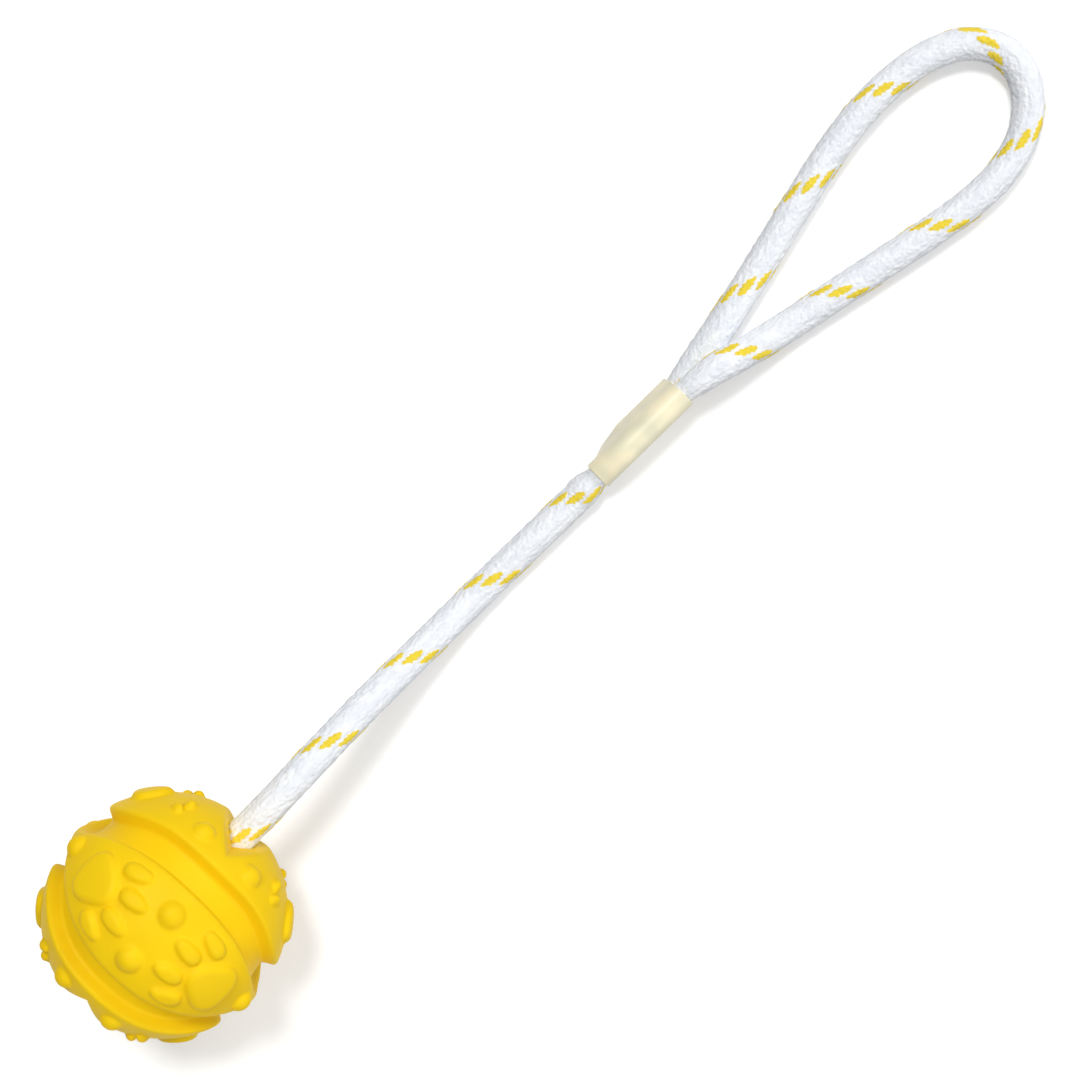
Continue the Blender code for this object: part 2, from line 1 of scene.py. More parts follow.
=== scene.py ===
"""Looks for a ball on a rope for dogs, dressed round the model of its construction.

Metres, +Z up, in that model's own frame: the ball stands over the origin and the rope leaves it
along +X. Turns are counted round the rope from the top, and latitudes on the ball from its
middle towards the rope. Angles are radians unless a comment says degrees, and a SHARE is a part
of the size that it belongs to.
"""
import json
import math

import bpy
import numpy as np
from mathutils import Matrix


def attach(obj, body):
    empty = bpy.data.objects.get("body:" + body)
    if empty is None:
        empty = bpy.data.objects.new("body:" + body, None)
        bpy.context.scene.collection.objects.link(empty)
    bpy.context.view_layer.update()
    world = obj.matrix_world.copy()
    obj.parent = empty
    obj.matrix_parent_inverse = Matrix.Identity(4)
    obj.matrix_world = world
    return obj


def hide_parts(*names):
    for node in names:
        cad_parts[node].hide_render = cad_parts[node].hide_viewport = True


# Where the ball's middle is: its box, not its middle, is centred over the origin
CENTRE_X = -0.0005874

# Ball
BALL_RADIUS = 0.0334
GROOVE_DEPTH = 0.0043
GROOVE_WALL_LEAN = 0.0008
PANEL_EDGE_MIDDLE = math.radians(27.8)
PANEL_EDGE_NECK = math.radians(2.5)
PANEL_EDGE_SWING = math.radians(10)
CAP_EDGE_MIDDLE = math.radians(44.5)
CAP_EDGE_NECK = math.radians(19)
CAP_EDGE_SWING = math.radians(16)
PANEL_EDGE_ROUND = 0.0018
CAP_EDGE_ROUND = 0.0011
# A panel's two edges nearly meet at its neck, so their round is at most this share of the room
NECK_ROUND_SHARE = 0.7
GROOVE_BOTTOM_ROUND = 0.0013
GROOVE_DISH = 0.0002

# Studs: latitude and turn in degrees within an eighth of the ball, and the crown's radius
STUD_HEIGHT = 0.0021
STUDS = [(14.0, 0.0, 0.0042), (0.0, 66.0, 0.0036), (54.0, 26.0, 0.0036)]
STUD_FOOT_ROUND = 0.00025

# Paw prints within the same eighth: latitude, turn and slant in degrees
PAW_HEIGHT = 0.0016
PAW_FOOT_ROUND = 0.00015
PAD_RADIUS = 0.0072
PAD_LOBE_SHARE = 0.09
PAD_SHOULDER = 0.0022
PANEL_PAD = (0.0, 38.0)
PANEL_TOES = [(6.5, 17.0, 8.0), (16.0, 25.0, 20.0)]
TOE_LENGTH = 0.0088
TOE_WIDTH = 0.0058
TOE_SHOULDER = 0.0018
# A toe is fuller at its outer end, and drawn in a little between its ends
TOE_TAPER_SHARE = 0.14
TOE_WAIST_SHARE = 0.18
CAP_PAD_RADIUS = 0.0058
CAP_PAD = (39.5, 90.0)
CAP_TOES = [(57.0, 60.0, 35.0), (50.0, 56.0, 10.0)]
CAP_TOE_LENGTH = 0.0048
CAP_TOE_WIDTH = 0.0037

# Notch across each pole, bore and knot pocket
NOTCH_DEPTH = 0.0066
NOTCH_HALF_ANGLE = math.radians(55)
NOTCH_ROUND = 0.0006
BORE_RADIUS = 0.0049
BORE_MOUTH_ROUND = 0.0006
KNOT_SEAT = 0.0134
KNOT_POCKET_RADIUS = 0.0118
POCKET_MOUTH_ROUND = 0.0008

# How far the ball lies rolled round its rope
BALL_ROLL = math.radians(2.75)

# Columns of faces round the ball, and rows over its parts
BALL_COLUMNS = 460
MOUTH_ROWS = 5
EDGE_ROWS = 5
GROOVE_FLOOR_ROWS = 5
ROPE_CAP_ROWS = 42
KNOT_CAP_ROWS = 34
PANEL_ROWS = 62
# Rows along the bore and down the pocket's wall, as shares of the seat's distance
BORE_ROW_SHARES = (-0.9, 0.0, 0.9)
POCKET_ROW_SHARES = (1.3, 1.8)
# Where a mouth's edge is looked for on the ball, and how often that stretch is halved
MOUTH_STRETCH = (math.radians(50), math.radians(89.9))
MOUTH_HALVINGS = 40

# Rope
ROPE_RADIUS = 0.0045
GRIPPED_RADIUS = 0.00335
FLOOR_GAP = 0.0003
FACE_GAP = 0.0003
KNOT_TUBE_RADIUS = 0.0036
KNOT_CORE_GAP = 0.0004
KNOT_PITCH = 0.0079
KNOT_WOUND_TURNS = 1.12
KNOT_SPIRAL_TURNS = 0.62
KNOT_POINTS_PER_TURN = 20
CURVE_SAMPLES = 24
GRIPPED_POINTS = 30
TAIL_POINTS = 24

# Sleeve
SLEEVE_START = 0.1694
SLEEVE_LENGTH = 0.0333
SLEEVE_WALL = 0.00055
SLEEVE_FIT = 0.0003
TAIL_INSET = 0.0086
TAIL_TAPER = 0.0060
TAIL_END_SHARE = 0.68
SWELL_LEAD = 0.0060
STRAND_SIDE_OFFSET = 0.0026
STRAND_OVER = 0.0067
CLIMB_START = 0.1580
CLIMB_RUN = 0.0240
END_INSET = 0.0036
GRIP_LEAD = 0.0008
LOWER_STRAND_Y = (0.0008, -0.0002)
SLEEVE_ROUNDS = 96
SLEEVE_STATIONS = 90
SLEEVE_CREASE = math.radians(50)
WELD_DISTANCE = 0.00001

# Route of the free rope, as the construction has it. The lead's sway is X and Y; a place on the
# loop's route is X, Y, its height over the floor as a share of STRAND_OVER, and its thickness
LEAD_SPLIT = 0.0240
LEAD_STRAIGHT = 0.0390
LEAD_LANDING = 0.1280
LEAD_DROP_POINTS = 9
LEAD_SWAY = [(0.0500, 0.0001), (0.0740, 0.0005), (0.1020, 0.0000), (0.1300, -0.0007),
             (0.1500, -0.0014), (0.1600, -0.0017)]
LOOP_ROUTE = [
    (0.2070, -0.0034, 1.08, 0.84), (0.2130, -0.0045, 1.08, 0.96), (0.2200, -0.0064, 0.80, 1.0),
    (0.2270, -0.0084, 0.40, 1.0), (0.2350, -0.0103, 0.10, 1.0), (0.2430, -0.0122, 0.0, 1.0),
    (0.2520, -0.0142, 0.0, 1.0), (0.2680, -0.0178, 0.0, 1.0), (0.2840, -0.0214, 0.0, 1.0),
    (0.2990, -0.0241, 0.0, 1.0), (0.3120, -0.0246, 0.0, 1.0), (0.3235, -0.0218, 0.0, 1.02),
    (0.3325, -0.0155, 0.0, 1.05), (0.3370, -0.0080, 0.0, 1.06), (0.3370, 0.0000, 0.0, 1.06),
    (0.3325, 0.0074, 0.0, 1.05), (0.3230, 0.0131, 0.0, 1.02), (0.3100, 0.0160, 0.0, 1.0),
    (0.2950, 0.0161, 0.0, 1.0), (0.2800, 0.0142, 0.0, 1.0), (0.2650, 0.0111, 0.0, 1.0),
    (0.2510, 0.0080, 0.0, 1.0), (0.2350, 0.0046, 0.0, 1.0), (0.2220, 0.0022, 0.0, 1.0),
    (0.2130, 0.0008, 0.0, 0.96), (0.2070, 0.0001, 0.0, 0.84),
]

# Braid: eight yarns each way, whose floats lie along the rope, half a step apart
YARNS_EACH_WAY = 8
TRACER_PITCH = 0.0341
STITCH_LENGTH = 0.0064
STITCH_WIDTH = 0.0021
STITCH_SLANT = math.radians(9)
STITCH_RISE = 0.00020
STITCH_SHINGLE = 0.00012
# How much of a stitch's rise lies within the rope's own radius
STITCH_SUNK_SHARE = 0.9
# The yellow yarn stands prouder, so more of its length shows, with a toothed edge
TRACER_PROUD = 0.00016
TRACER_LENGTH_SHARE = 1.22
TRACER_WIDTH_SHARE = 1.04
TOOTH_LENGTH = 0.0016
TOOTH_SHARE = 0.16
FUZZ = 0.00006
BRAID_SEGMENTS = 96
BRAID_STEP = 0.00042
# The path that is given for a cord has a point at every so many of its rings
RINGS_PER_PATH_POINT = 6
# Three numbers with no simple ratio, from which each stitch gets its own tone
TONE_MIX = (12.9898, 78.233, 37)
# How far along each piece the yellow yarn first comes to the top
LEAD_TRACER_AT = 0.0062
LOOP_TRACER_AT = 0.0238
INNER_TRACER_AT = 0.0

# Sizes of the patterns in the materials. A pixel of the picture is 0.3 mm, so a pattern that is
# finer in truth is drawn as coarse as it needs to show: the rubber's grain is about 0.1 mm, a
# fibre is about 0.03 mm thick, and a ply of the yarn about 0.5 mm
RUBBER_CLOUD = 0.0143
RUBBER_GRAIN = 0.00111
FIBRE_WIDTH = 0.000222
FIBRE_LENGTH = 0.00143
PLY_WIDTH = 0.00077
PLY_LENGTH = 0.0010
FILM_PATCH = 0.00833
# Where the film's patches begin and end in the noise that makes them
FILM_PATCH_EDGES = (0.34, 0.66)
# How deep the patterns stand in the surface
GRAIN_DEPTH = 0.0002
FIBRE_DEPTH = 0.0001
PLY_DEPTH = 0.0004

# Soft suns: the turn round +Z and the height in degrees that the light comes from, how many
# degrees wide the lamp looks, its strength, and whether it casts a shadow
SUNS = [("key", 64, 67, 13, 1.40, True), ("head", 0, 32, 40, 0.88, True),
        ("balance", -90, 34, 40, 0.78, False)]
# Light from all round, and the floor: how pale it is to other light, how pale where it is seen,
# and how much it glows there, so that it is plain white outside the shadow
FILL_LIGHT = 0.33
FLOOR_BOUNCE = 0.34
FLOOR_PALE = 0.94
FLOOR_GLOW = 0.24
FLOOR_SIZE = 6

CAMERA_PLACE = (0.1443, -0.0026, 0.690)
CAMERA_TURN = math.radians(-46)
CAMERA_LENS = 79.87
SENSOR = 36.0

SLEEVE_END = SLEEVE_START + SLEEVE_LENGTH
TAIL_START = SLEEVE_START + TAIL_INSET
GRIPPED_SHARE = GRIPPED_RADIUS / ROPE_RADIUS
KNOT_WIND_RADIUS = 2 * KNOT_TUBE_RADIUS + KNOT_CORE_GAP
ROPE_REST = ROPE_RADIUS + FLOOR_GAP
STRAND_REST = GRIPPED_RADIUS + SLEEVE_FIT + SLEEVE_WALL + FLOOR_GAP


# Camera and light

def add_camera():
    camera = bpy.data.objects.new("camera", bpy.data.cameras.new("camera"))
    bpy.context.scene.collection.objects.link(camera)
    camera.location = CAMERA_PLACE
    camera.rotation_euler = (0, 0, CAMERA_TURN)
    camera.data.sensor_width = SENSOR
    camera.data.lens = CAMERA_LENS
    bpy.context.scene.camera = camera


def add_sun(name, turn, height, softness, strength, shadow):
    """A soft lamp far away, by the turn round +Z and the height that its light comes from."""
    lamp = bpy.data.lights.new(name, 'SUN')
    lamp.energy = strength
    lamp.angle = math.radians(softness)
    lamp.use_shadow = shadow
    obj = bpy.data.objects.new(name, lamp)
    bpy.context.scene.collection.objects.link(obj)
    obj.rotation_euler = (0, math.radians(90 - height), math.radians(turn))


# Materials

def linear(colour):
    """An sRGB hex colour as the linear values that Blender wants."""
    values = [int(colour[i:i + 2], 16) / 255 for i in (0, 2, 4)]
    return tuple(v / 12.92 if v <= 0.04045 else ((v + 0.055) / 1.055) ** 2.4
                 for v in values) + (1.0,)


def new_material(name):
    material = bpy.data.materials.new(name)
    material.use_nodes = True
    return material, material.node_tree, material.node_tree.nodes["Principled BSDF"]


def add_node(tree, kind, settings=None, values=None, links=None):
    """A node with its settings, socket values and incoming links; a link is (node, output)."""
    node = tree.nodes.new(kind)
    for name, value in (settings or {}).items():
        setattr(node, name, value)
    for name, value in (values or {}).items():
        node.inputs[name].default_value = value
    for name, (source, output) in (links or {}).items():
        tree.links.new(source.outputs[output], node.inputs[name])
    return node


def grey(value):
    return (value, value, value, 1)


def rubber_material():
    """Moulded natural rubber: one deep yellow with a satin skin and a faintly uneven colour."""
    material, tree, shader = new_material("moulded_yellow_rubber")
    place = add_node(tree, "ShaderNodeTexCoord")
    cloud = add_node(tree, "ShaderNodeTexNoise",
                     values={"Scale": 1 / RUBBER_CLOUD, "Detail": 3.0},
                     links={"Vector": (place, "Object")})
    tint = add_node(tree, "ShaderNodeMix", {"data_type": 'RGBA'},
                    {"A": linear("F6CA0A"), "B": linear("FFD812")}, {"Factor": (cloud, "Fac")})
    tree.links.new(tint.outputs["Result"], shader.inputs["Base Color"])
    grain = add_node(tree, "ShaderNodeTexNoise",
                     values={"Scale": 1 / RUBBER_GRAIN, "Detail": 4.0},
                     links={"Vector": (place, "Object")})
    skin = add_node(tree, "ShaderNodeBump", values={"Strength": 0.15, "Distance": GRAIN_DEPTH},
                    links={"Height": (grain, "Fac")})
    tree.links.new(skin.outputs["Normal"], shader.inputs["Normal"])
    shader.inputs["Roughness"].default_value = 0.5
    shader.inputs["Specular IOR Level"].default_value = 0.12
    return material


def braid_material():
    """Soft spun polyester yarn: matt white with a pebbled braid, and one yellow yarn in it."""
    material, tree, shader = new_material("braided_white_yarn")
    tracer = add_node(tree, "ShaderNodeAttribute", {"attribute_name": "tracer"})
    tone = add_node(tree, "ShaderNodeAttribute", {"attribute_name": "tone"})
    rope_map = add_node(tree, "ShaderNodeUVMap", {"uv_map": "rope"})
    fibre_place = add_node(tree, "ShaderNodeMapping",
                           values={"Scale": (1 / FIBRE_WIDTH, 1 / FIBRE_LENGTH, 1.0)},
                           links={"Vector": (rope_map, "UV")})
    fibre = add_node(tree, "ShaderNodeTexNoise", values={"Scale": 1.0, "Detail": 2.0},
                     links={"Vector": (fibre_place, "Vector")})
    white = add_node(tree, "ShaderNodeMix", {"data_type": 'RGBA'},
                     {"A": linear("EBEFF5"), "B": linear("F7F9FD")}, {"Factor": (tone, "Fac")})
    yellow = add_node(tree, "ShaderNodeMix", {"data_type": 'RGBA'},
                      {"A": linear("EAC22C"), "B": linear("F8E83C")}, {"Factor": (fibre, "Fac")})
    colour = add_node(tree, "ShaderNodeMix", {"data_type": 'RGBA'},
                      links={"A": (white, "Result"), "B": (yellow, "Result"),
                             "Factor": (tracer, "Fac")})
    tree.links.new(colour.outputs["Result"], shader.inputs["Base Color"])
    fibres = add_node(tree, "ShaderNodeBump", values={"Strength": 0.5, "Distance": FIBRE_DEPTH},
                      links={"Height": (fibre, "Fac")})
    ply_place = add_node(tree, "ShaderNodeMapping",
                         values={"Scale": (1 / PLY_WIDTH, 1 / PLY_LENGTH, 1.0)},
                         links={"Vector": (rope_map, "UV")})
    ply = add_node(tree, "ShaderNodeTexVoronoi", {"feature": 'SMOOTH_F1'}, {"Scale": 1.0},
                   {"Vector": (ply_place, "Vector")})
    plies = add_node(tree, "ShaderNodeBump", {"invert": True},
                     {"Strength": 0.8, "Distance": PLY_DEPTH},
                     {"Height": (ply, "Distance"), "Normal": (fibres, "Normal")})
    tree.links.new(plies.outputs["Normal"], shader.inputs["Normal"])
    shader.inputs["Roughness"].default_value = 0.8
    shader.inputs["Sheen Weight"].default_value = 0.15
    return material


def sleeve_material():
    """Heat-shrunk ivory film: smooth, faintly glossy, with greyer patches where it is thinner."""
    material, tree, shader = new_material("shrunk_ivory_film")
    place = add_node(tree, "ShaderNodeTexCoord")
    patches = add_node(tree, "ShaderNodeTexNoise",
                       values={"Scale": 1 / FILM_PATCH, "Detail": 1.0},
                       links={"Vector": (place, "Object")})
    low, high = FILM_PATCH_EDGES
    strong = add_node(tree, "ShaderNodeMapRange", values={"From Min": low, "From Max": high},
                      links={"Value": (patches, "Fac")})
    tint = add_node(tree, "ShaderNodeMix", {"data_type": 'RGBA'},
                    {"A": linear("E6E2C4"), "B": linear("FFF4D0")}, {"Factor": (strong, "Result")})
    tree.links.new(tint.outputs["Result"], shader.inputs["Base Color"])
    shader.inputs["Roughness"].default_value = 0.42
    shader.inputs["Sheen Weight"].default_value = 0.3
    return material


def seen_rays(tree):
    """1 for rays that show the background: the camera's, and those mirrored or let through."""
    ray = add_node(tree, "ShaderNodeLightPath")
    mirrored = add_node(tree, "ShaderNodeMath", {"operation": 'MAXIMUM'},
                        links={0: (ray, "Is Camera Ray"), 1: (ray, "Is Glossy Ray")})
    return add_node(tree, "ShaderNodeMath", {"operation": 'MAXIMUM'},
                    links={0: (mirrored, 0), 1: (ray, "Is Transmission Ray")})


def floor_material():
    """White where it is seen in full light, so that only the shadow shows, but it bounces less."""
    material = bpy.data.materials.new("white_floor")
    material.use_nodes = True
    tree = material.node_tree
    tree.nodes.clear()
    seen = seen_rays(tree)
    colour = add_node(tree, "ShaderNodeMix", {"data_type": 'RGBA', "clamp_result": False},
                      {"A": grey(FLOOR_BOUNCE), "B": grey(FLOOR_PALE)},
                      {"Factor": (seen, 0)})
    diffuse = add_node(tree, "ShaderNodeBsdfDiffuse", links={"Color": (colour, "Result")})
    lift = add_node(tree, "ShaderNodeMath", {"operation": 'MULTIPLY'}, {1: FLOOR_GLOW},
                    {0: (seen, 0)})
    glow = add_node(tree, "ShaderNodeEmission", links={"Strength": (lift, 0)})
    both = add_node(tree, "ShaderNodeAddShader", links={0: (diffuse, "BSDF"), 1: (glow, 0)})
    add_node(tree, "ShaderNodeOutputMaterial", links={"Surface": (both, 0)})
    return material


def add_world():
    """Even light from all round, and plain white where the world itself is seen."""
    world = bpy.data.worlds.new("studio")
    bpy.context.scene.world = world
    world.use_nodes = True
    tree = world.node_tree
    tree.nodes.clear()
    fill, white = [add_node(tree, "ShaderNodeBackground",
                            values={"Strength": strength, "Color": grey(1)})
                   for strength in (FILL_LIGHT, 1.0)]
    both = add_node(tree, "ShaderNodeMixShader",
                    links={0: (seen_rays(tree), 0), 1: (fill, 0), 2: (white, 0)})
    add_node(tree, "ShaderNodeOutputWorld", links={"Surface": (both, 0)})


# Ball

def smooth_max(a, b, radius):
    return 0.5 * (a + b + np.sqrt((a - b) ** 2 + radius ** 2))


def smooth_step(value):
    value = np.clip(value, 0, 1)
    return value * value * (3 - 2 * value)


def edge_latitude(turn, middle, neck, swing):
    """A wavy edge: widest at the middle of a panel, narrowest at its neck."""
    return neck + (middle - neck) * np.cos(turn - swing * np.sin(2 * turn)) ** 2


def stud_height(lat, turn, stud):
    """A sphere sunk into the ball, seen from the ball's middle; beside it the value falls away."""
    lat0, turn0, crown = math.radians(stud[0]), math.radians(stud[1]), stud[2]
    reach = BALL_RADIUS + STUD_HEIGHT - crown
    cosine = (np.sin(lat) * math.sin(lat0)
              + np.cos(lat) * math.cos(lat0) * np.cos(turn - turn0))
    aside = reach * np.sqrt(np.maximum(1 - cosine ** 2, 0))
    over = np.sqrt(np.maximum(crown ** 2 - aside ** 2, 0)) - 2 * np.maximum(aside - crown, 0)
    return np.where(cosine > 0, reach * cosine + over - BALL_RADIUS, -BALL_RADIUS)


def paw_place(lat, turn, lat0, turn0):
    """Distances on the ball from a paw's piece: round the rope, and along it."""
    lat0, turn0 = math.radians(lat0), math.radians(turn0)
    return (turn - turn0) * np.cos((lat + lat0) / 2) * BALL_RADIUS, (lat - lat0) * BALL_RADIUS


def pillow(inside, shoulder):
    """A pad's height by the distance inside its outline: steep at its foot, round on top."""
    share = np.clip(1 - inside / shoulder, 0, 1)
    dome = PAW_HEIGHT * np.sqrt(1 - share ** 2)
    return dome + np.minimum(inside, 0)


def pad_height(lat, turn, place, radius, toes_way):
    """A soft three-sided pad with one lobe towards its toes."""
    around, along = paw_place(lat, turn, *place)
    angle = np.arctan2(around, along) - toes_way
    outline = radius * (1 + PAD_LOBE_SHARE * np.cos(3 * angle))
    inside = outline - np.hypot(around, along)
    return pillow(inside, PAD_SHOULDER)


def toe_height(lat, turn, toe, length, width, cap):
    """An oval toe whose long side leans by its slant."""
    around, along = paw_place(lat, turn, toe[0], toe[1])
    slant = math.radians(toe[2]) * (1 if cap else -1)
    lengthways = around * math.cos(slant) + along * math.sin(slant)
    across = along * math.cos(slant) - around * math.sin(slant)
    end = lengthways / (length / 2)
    fullness = 1 + TOE_TAPER_SHARE * end - TOE_WAIST_SHARE * (1 - end ** 2)
    reach = np.sqrt(end ** 2 + (across / (width / 2 * np.maximum(fullness, 0.5))) ** 2)
    return pillow((1 - reach) * width / 2, TOE_SHOULDER)


def relief(lat, turn):
    """How far the moulded surface stands over the plain ball; its eighths mirror each other."""
    lat = np.abs(lat)
    turn = np.abs((turn + math.pi) % (2 * math.pi) - math.pi)
    turn = np.minimum(turn, math.pi - turn)
    forms = [pad_height(lat, turn, PANEL_PAD, PAD_RADIUS, -math.pi / 2),
             pad_height(lat, turn, CAP_PAD, CAP_PAD_RADIUS, 0)]
    forms += [toe_height(lat, turn, toe, TOE_LENGTH, TOE_WIDTH, False) for toe in PANEL_TOES]
    forms += [toe_height(lat, turn, toe, CAP_TOE_LENGTH, CAP_TOE_WIDTH, True)
              for toe in CAP_TOES]
    height = np.zeros_like(lat + turn)
    for form in forms:
        height = smooth_max(height, form, PAW_FOOT_ROUND)
    for stud in STUDS:
        height = smooth_max(height, stud_height(lat, turn, stud), STUD_FOOT_ROUND)
    return height


def outer_radius(lat, turn):
    """The ball's surface from its middle, with the V-shaped notch across each pole."""
    radius = BALL_RADIUS + relief(lat, turn)
    slope = math.tan(NOTCH_HALF_ANGLE)
    toward = slope * np.sin(np.abs(lat)) - np.abs(np.cos(lat) * np.sin(turn))
    # Away from the poles the notch's walls lie outside the ball
    notch = slope * (BALL_RADIUS - NOTCH_DEPTH) / np.maximum(toward, 0.01)
    notch = np.minimum(notch, 2 * BALL_RADIUS)
    return -smooth_max(-radius, -notch, NOTCH_ROUND)


def latitude_at(rho, turn):
    """Where the outer surface is that far from the rope's line."""
    low, high = [np.full_like(turn, lat) for lat in MOUTH_STRETCH]
    for _ in range(MOUTH_HALVINGS):
        middle = (low + high) / 2
        outside = outer_radius(middle, turn) * np.cos(middle) > rho
        low = np.where(outside, middle, low)
        high = np.where(outside, high, middle)
    return (low + high) / 2


def bend_rows(start, corner, end):
    """Rows round a corner, each a (latitude, radius) pair of arrays: a quadratic arc."""
    rows = []
    for i in range(EDGE_ROWS + 1):
        t = i / EDGE_ROWS
        weights = ((1 - t) ** 2, 2 * t * (1 - t), t ** 2)
        rows.append(tuple(sum(w * p[k] for w, p in zip(weights, (start, corner, end)))
                          for k in (0, 1)))
    return rows


def groove_rows(turn):
    """Rows from the cap over its edge, down, across the groove and up onto the panel."""
    cap = edge_latitude(turn, CAP_EDGE_MIDDLE, CAP_EDGE_NECK, CAP_EDGE_SWING)
    panel = edge_latitude(turn, PANEL_EDGE_MIDDLE, PANEL_EDGE_NECK, PANEL_EDGE_SWING)
    lean = GROOVE_WALL_LEAN / BALL_RADIUS
    full = np.full_like(turn, BALL_RADIUS)
    bottom = full - GROOVE_DEPTH
    foot_round = GROOVE_BOTTOM_ROUND
    sides = []
    for edge, way, widest in ((cap, -1, CAP_EDGE_ROUND), (panel, 1, PANEL_EDGE_ROUND)):
        bend = np.minimum(widest, NECK_ROUND_SHARE * edge * BALL_RADIUS)
        top = bend_rows((edge - way * bend / BALL_RADIUS, full), (edge, full),
                        (edge + way * lean * bend / GROOVE_DEPTH, full - bend))
        foot = edge + way * lean
        low = bend_rows((edge + way * lean * (1 - foot_round / GROOVE_DEPTH), bottom + foot_round),
                        (foot, bottom), (foot + way * foot_round / BALL_RADIUS, bottom))
        sides.append(top + [tuple((a + b) / 2 for a, b in zip(top[-1], low[0]))] + low)
    across = []
    start, end = sides[0][-1], sides[1][-1]
    for i in range(1, GROOVE_FLOOR_ROWS + 1):
        share = i / (GROOVE_FLOOR_ROWS + 1)
        dish = GROOVE_DISH * 4 * share * (1 - share)
        across.append((start[0] + (end[0] - start[0]) * share, bottom - dish))
    return sides[0] + across + sides[1][::-1]


def between(start, end, count):
    """Latitudes between two others, without the ends."""
    return [start + (end - start) * i / (count + 1) for i in range(1, count + 1)]


def half_ball_rows(turn, mouth_radius, mouth_round, cap_count):
    """Rows of (along the rope's line, away from it) from a mouth's wall to the panel's edge."""
    rows = []
    for i in range(MOUTH_ROWS):
        angle = math.pi / 2 * i / MOUTH_ROWS
        rho = mouth_radius + mouth_round * (1 - math.cos(angle))
        lat = latitude_at(rho, turn)
        x = outer_radius(lat, turn) * np.sin(lat) - mouth_round * (1 - math.sin(angle))
        rows.append((x, np.full_like(turn, rho)))
    groove = groove_rows(turn)
    first = latitude_at(mouth_radius + mouth_round, turn)
    cap = [first] + between(first, groove[0][0], cap_count)
    polar = [(lat, outer_radius(lat, turn)) for lat in cap] + groove
    return rows + [(r * np.sin(lat), r * np.cos(lat)) for lat, r in polar]


def ball_rows(turn):
    """Every row of the ball, from the bore on the rope's side over it to the knot's seat."""
    rope_side = half_ball_rows(turn, BORE_RADIUS, BORE_MOUTH_ROUND, ROPE_CAP_ROWS)
    knot_side = half_ball_rows(turn, KNOT_POCKET_RADIUS, POCKET_MOUTH_ROUND, KNOT_CAP_ROWS)
    edge = groove_rows(turn)[-1][0]
    panel = [(outer_radius(lat, turn) * np.sin(lat), outer_radius(lat, turn) * np.cos(lat))
             for lat in between(edge, -edge, PANEL_ROWS)]
    bore = np.full_like(turn, BORE_RADIUS)
    pocket = np.full_like(turn, KNOT_POCKET_RADIUS)
    seat = np.full_like(turn, -KNOT_SEAT)
    inside = [(seat * share, bore) for share in BORE_ROW_SHARES]
    depths = [(seat, bore), (seat, (2 * bore + pocket) / 3), (seat, (bore + 2 * pocket) / 3),
              (seat, pocket)] + [(seat * share, pocket) for share in POCKET_ROW_SHARES]
    far = [(-x, rho) for x, rho in knot_side]
    return inside[:1] + rope_side + panel + far[::-1] + depths[::-1] + inside[:0:-1]


def draw_onto_rows(ball, rows, steps, axis_height):
    """Move each ring of the sphere onto its row; returns which points are the sphere's poles."""
    places = np.zeros(len(ball.data.vertices) * 3)
    ball.data.vertices.foreach_get("co", places)
    places = places.reshape(-1, 3)
    lat = np.arcsin(np.clip(places[:, 0] / BALL_RADIUS, -1, 1))
    turn = np.arctan2(-places[:, 1], places[:, 2])
    row = np.round((math.pi / 2 - lat) * (len(rows) + 1) / math.pi).astype(int) - 1
    column = np.round(turn * BALL_COLUMNS / (2 * math.pi)).astype(int) % BALL_COLUMNS
    poles = (row < 0) | (row >= len(rows))
    row = np.clip(row, 0, len(rows) - 1)
    along = np.array([x for x, _ in rows])[row, column]
    away = np.array([rho for _, rho in rows])[row, column]
    turned = steps[column] + BALL_ROLL
    places[:, 0] = CENTRE_X + along
    places[:, 1] = -away * np.sin(turned)
    places[:, 2] = np.maximum(axis_height + away * np.cos(turned), 0)
    ball.data.vertices.foreach_set("co", places.ravel())
    return poles


def open_along_bore(ball, poles):
    """Take away the poles and join the two round openings by the bore's wall."""
    bpy.ops.object.mode_set(mode='EDIT')
    bpy.ops.mesh.select_mode(type='VERT')
    bpy.ops.mesh.select_all(action='DESELECT')
    bpy.ops.object.mode_set(mode='OBJECT')
    ball.data.vertices.foreach_set("select", poles)
    bpy.ops.object.mode_set(mode='EDIT')
    bpy.ops.mesh.delete(type='VERT')
    bpy.ops.mesh.select_mode(type='EDGE')
    bpy.ops.mesh.select_non_manifold()
    bpy.ops.mesh.bridge_edge_loops()
    bpy.ops.mesh.select_all(action='SELECT')
    bpy.ops.mesh.normals_make_consistent(inside=False)
    bpy.ops.object.mode_set(mode='OBJECT')


def make_ball(axis_height, material):
    """A sphere whose rings are drawn onto the moulded shape, then opened along the bore."""
    steps = np.arange(BALL_COLUMNS) * 2 * math.pi / BALL_COLUMNS
    rows = ball_rows(steps)
    bpy.ops.object.select_all(action='DESELECT')
    bpy.ops.mesh.primitive_uv_sphere_add(segments=BALL_COLUMNS, ring_count=len(rows) + 1,
                                         radius=BALL_RADIUS, rotation=(0, math.pi / 2, 0))
    ball = bpy.context.object
    ball.name = "moulded_ball"
    bpy.ops.object.transform_apply(location=True, rotation=True, scale=True)
    open_along_bore(ball, draw_onto_rows(ball, rows, steps, axis_height))
    bpy.ops.object.shade_smooth()
    ball.data.materials.append(material)
    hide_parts("ball")
    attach(ball, "ball")


# Rope

